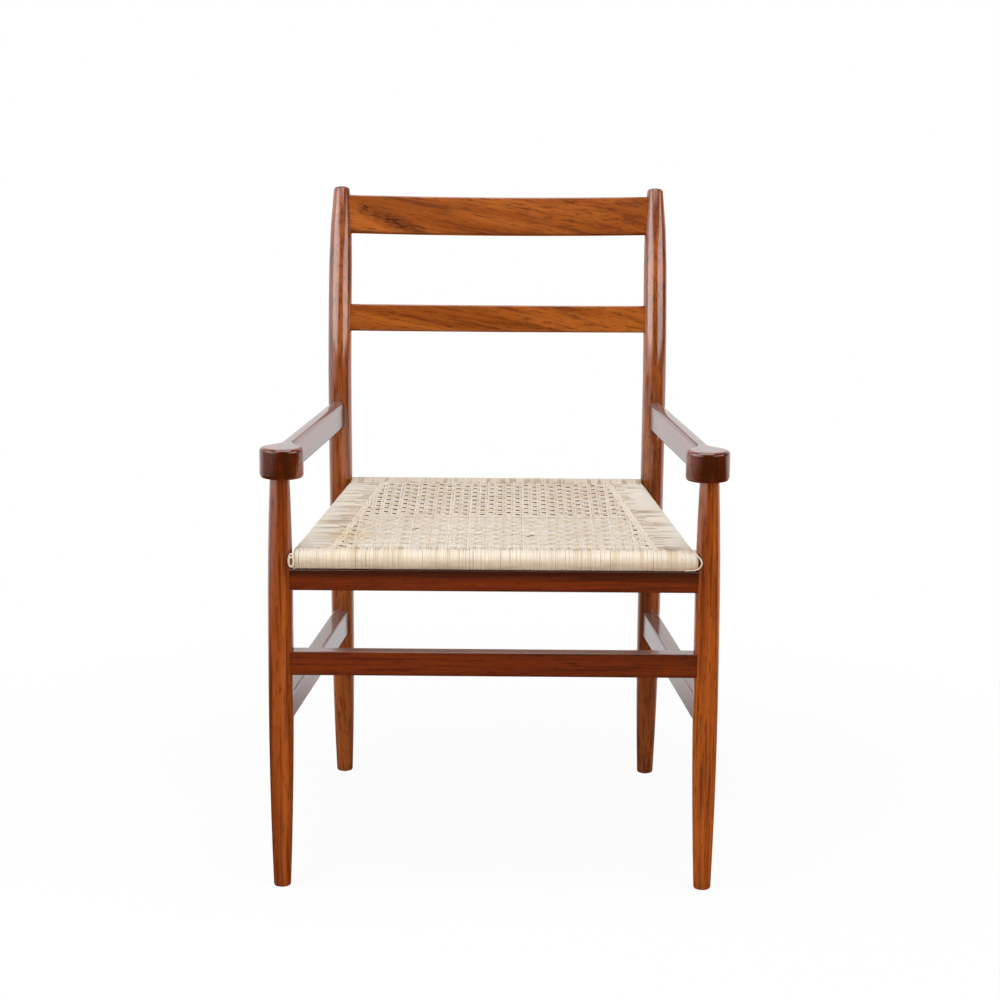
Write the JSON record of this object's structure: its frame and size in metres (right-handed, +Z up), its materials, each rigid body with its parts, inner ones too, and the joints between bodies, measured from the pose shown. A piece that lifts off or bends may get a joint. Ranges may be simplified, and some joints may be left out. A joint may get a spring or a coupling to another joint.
{
  "type": "dining armchair",
  "caption": "Wooden dining armchair with turned tapered legs, curved rear posts, bowed back slats, arms that end in rounded paddles and a woven cane seat.",
  "frame": {"origin": "on the floor, under the middle of the chair's bounding box", "axes": "+Z up, -Y the way the chair faces, +X to the right as seen from the front; left and right in node names are as seen from the front"},
  "size_m": [0.5738, 0.517, 0.8367],
  "materials": {
    "lacquered_wood": "satin lacquer over streaky orange-brown hardwood",
    "rail_wood": "satin lacquer over dark red-brown hardwood",
    "seat_frame_wood": "bare",
    "cane": "natural split cane, glossy on its outer skin",
    "screw_steel": "plain"
  },
  "bodies": {
    "root": {"front_leg_left": "lacquered_wood", "front_leg_right": "lacquered_wood", "rear_post_left": "lacquered_wood", "rear_post_right": "lacquered_wood", "arm_left": "lacquered_wood", "arm_right": "lacquered_wood", "crest_slat": "lacquered_wood", "middle_slat": "lacquered_wood", "front_seat_rail": "rail_wood", "rear_seat_rail": "rail_wood", "side_seat_rail_left": "rail_wood", "side_seat_rail_right": "rail_wood", "front_stretcher": "rail_wood", "side_stretcher_left": "rail_wood", "side_stretcher_right": "rail_wood", "seat_member_front": "seat_frame_wood", "seat_member_back": "seat_frame_wood", "seat_member_left": "seat_frame_wood", "seat_member_right": "seat_frame_wood", "cane_roll_front": "cane", "cane_roll_back": "cane", "cane_roll_left": "cane", "cane_roll_right": "cane", "cane_field": "cane", "seat_screw_front_left": "screw_steel", "seat_screw_front_right": "screw_steel", "seat_screw_back_left": "screw_steel", "seat_screw_back_right": "screw_steel"}
  },
  "joints": []
}
